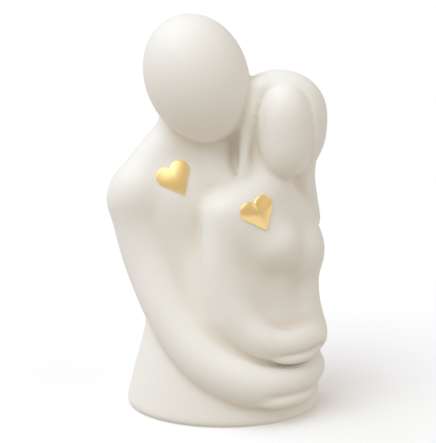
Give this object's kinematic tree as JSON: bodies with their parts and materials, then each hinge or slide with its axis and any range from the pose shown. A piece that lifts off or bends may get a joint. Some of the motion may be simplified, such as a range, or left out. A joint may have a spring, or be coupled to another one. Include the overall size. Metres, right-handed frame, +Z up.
{
  "type": "courting couple figurine",
  "caption": "Standing white bisque figurine of a couple with plain egg heads, embracing in one casting with a flat underside, and a small gold heart on each chest.",
  "frame": {"origin": "centre of the oval foot, on the plane that the figurine stands on", "axes": "+Z up, through the taller head; -Y is the front, the side with the hearts and her face; +X is her side"},
  "size_m": [0.1232, 0.0974, 0.2239],
  "materials": {
    "bisque_porcelain": "matt unglazed white bisque, softly sanded",
    "gold": "polished gold-plated metal"
  },
  "bodies": {
    "root": {"couple_figure": "bisque_porcelain", "heart_on_him": "gold", "heart_on_her": "gold"}
  },
  "joints": []
}
